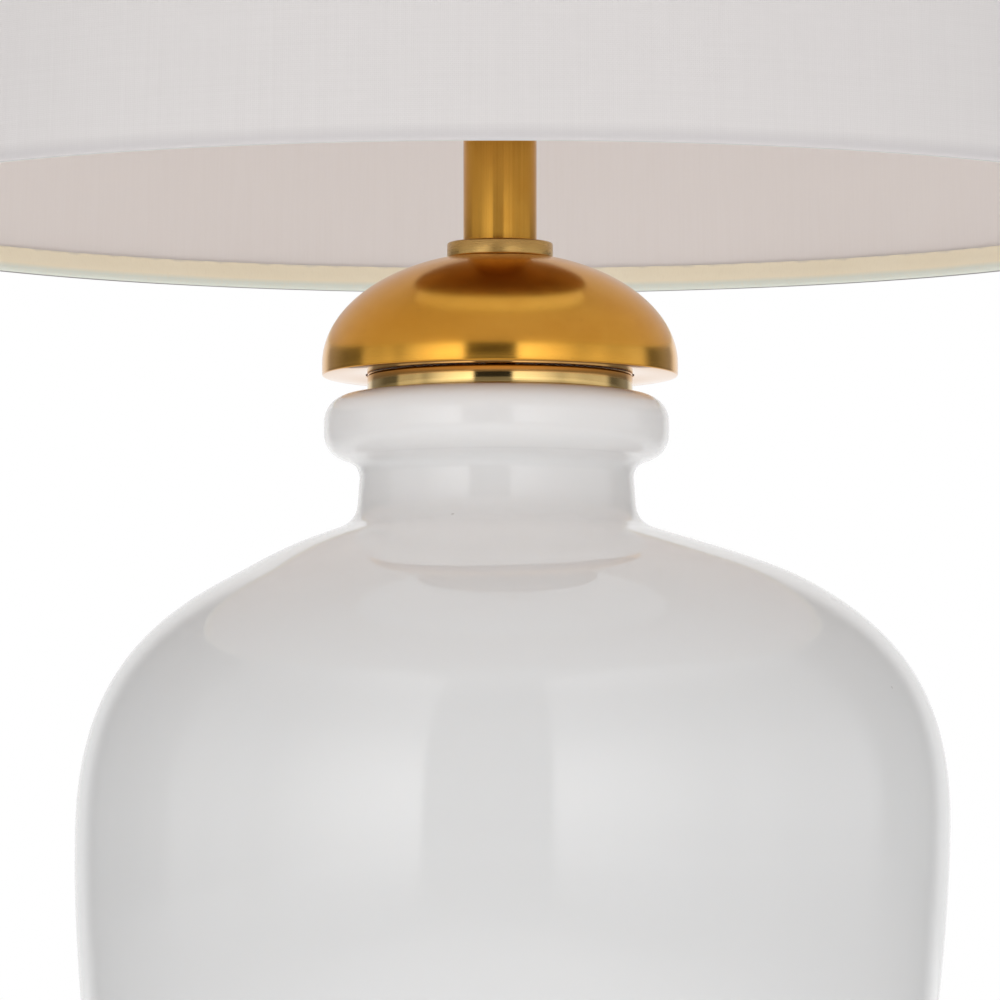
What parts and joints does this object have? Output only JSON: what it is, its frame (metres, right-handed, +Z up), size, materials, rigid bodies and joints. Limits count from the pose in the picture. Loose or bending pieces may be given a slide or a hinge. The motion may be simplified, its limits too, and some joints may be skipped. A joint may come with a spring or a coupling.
{
  "type": "table lamp with shade",
  "caption": "Table lamp: opal glass jar on a low brass foot, brass dome, tube and plate, lamp holder, harp, bulb and linen drum shade with finial.",
  "frame": {"origin": "centre of the felt pad's underside, on the axis of the threaded rod", "axes": "+Z up along the rod; the switch knob points to -Y; the harp lies in the XZ plane; the cord leaves the foot at +Y"},
  "size_m": [0.4352, 0.4352, 0.6948],
  "materials": {
    "brass": "polished, lightly aged",
    "satin_brass": "satin, turned",
    "plated_steel": "plated",
    "nickel": "bright plated",
    "cast_iron": "rough cast",
    "opal_glass": "glossy opal, hand blown",
    "bulb_opal": "opal diffuser",
    "bulb_plastic": "semi gloss",
    "rubber": "matte",
    "ivory_plastic": "moulded",
    "black_phenolic": "moulded",
    "felt": "pressed felt",
    "card": "fibre sleeve",
    "white_linen": "plain weave linen",
    "shade_lining": "satin film",
    "hem_tape": "folded tape"
  },
  "bodies": {
    "base": {"felt_pad": "felt", "foot_shell": "brass", "foot_weight": "cast_iron", "foot_washer": "plated_steel", "foot_locknut": "brass", "cord_bushing": "rubber", "jar_seat_ring": "rubber", "glass_jar": "opal_glass", "jar_floor_bush": "rubber", "threaded_rod": "plated_steel", "mouth_plug": "ivory_plastic", "lip_gasket": "rubber", "neck_collar": "satin_brass", "collar_spacer": "brass", "collar_locknut": "plated_steel", "dome_cap": "brass", "dome_washer": "plated_steel", "dome_locknut": "plated_steel", "check_ring": "satin_brass", "neck_tube": "brass", "socket_plate": "brass", "harp_saddle": "plated_steel", "saddle_nut": "brass", "socket_cap": "brass", "cap_set_screw": "brass", "socket_shell": "brass", "socket_sleeve": "card", "socket_core": "black_phenolic", "screw_shell": "nickel", "centre_contact": "brass", "live_screw": "brass", "neutral_screw": "plated_steel", "harp_bow": "plated_steel"},
    "switch_key": {"switch_spindle": "satin_brass", "switch_knob": "black_phenolic"},
    "sleeve_left": {"harp_sleeve_left": "plated_steel"},
    "sleeve_right": {"harp_sleeve_right": "plated_steel"},
    "shade": {"harp_stud": "brass", "spider_washer": "plated_steel", "spider_arm_1": "plated_steel", "spider_arm_2": "plated_steel", "spider_arm_3": "plated_steel", "top_ring": "plated_steel", "bottom_ring": "plated_steel", "shade_liner": "shade_lining", "shade_fabric": "white_linen", "top_hem": "hem_tape", "bottom_hem": "hem_tape"},
    "finial": {"finial": "satin_brass"},
    "bulb": {"bulb_globe": "bulb_opal", "bulb_housing": "bulb_plastic", "bulb_base": "nickel", "bulb_contact": "brass"}
  },
  "joints": [
    {"name": "switch_turn", "type": "hinge", "parent": "base", "child": "switch_key", "pos_m": [0, -0.0172, 0.4607], "axis": [0, -1, 0], "continuous": true},
    {"name": "sleeve_left_lift", "type": "slide", "parent": "base", "child": "sleeve_left", "axis": [0, 0, 1], "range_m": [0, 0.012]},
    {"name": "sleeve_right_lift", "type": "slide", "parent": "base", "child": "sleeve_right", "axis": [0, 0, 1], "range_m": [0, 0.012]},
    {"name": "shade_swivel", "type": "hinge", "parent": "base", "child": "shade", "pos_m": [0, 0, 0.6612], "axis": [0, 0, 1], "continuous": true},
    {"name": "finial_turn", "type": "hinge", "parent": "shade", "child": "finial", "pos_m": [0, 0, 0.6674], "axis": [0, 0, 1], "continuous": true},
    {"name": "bulb_turn", "type": "hinge", "parent": "base", "child": "bulb", "pos_m": [0, 0, 0.4687], "axis": [0, 0, 1], "continuous": true}
  ]
}
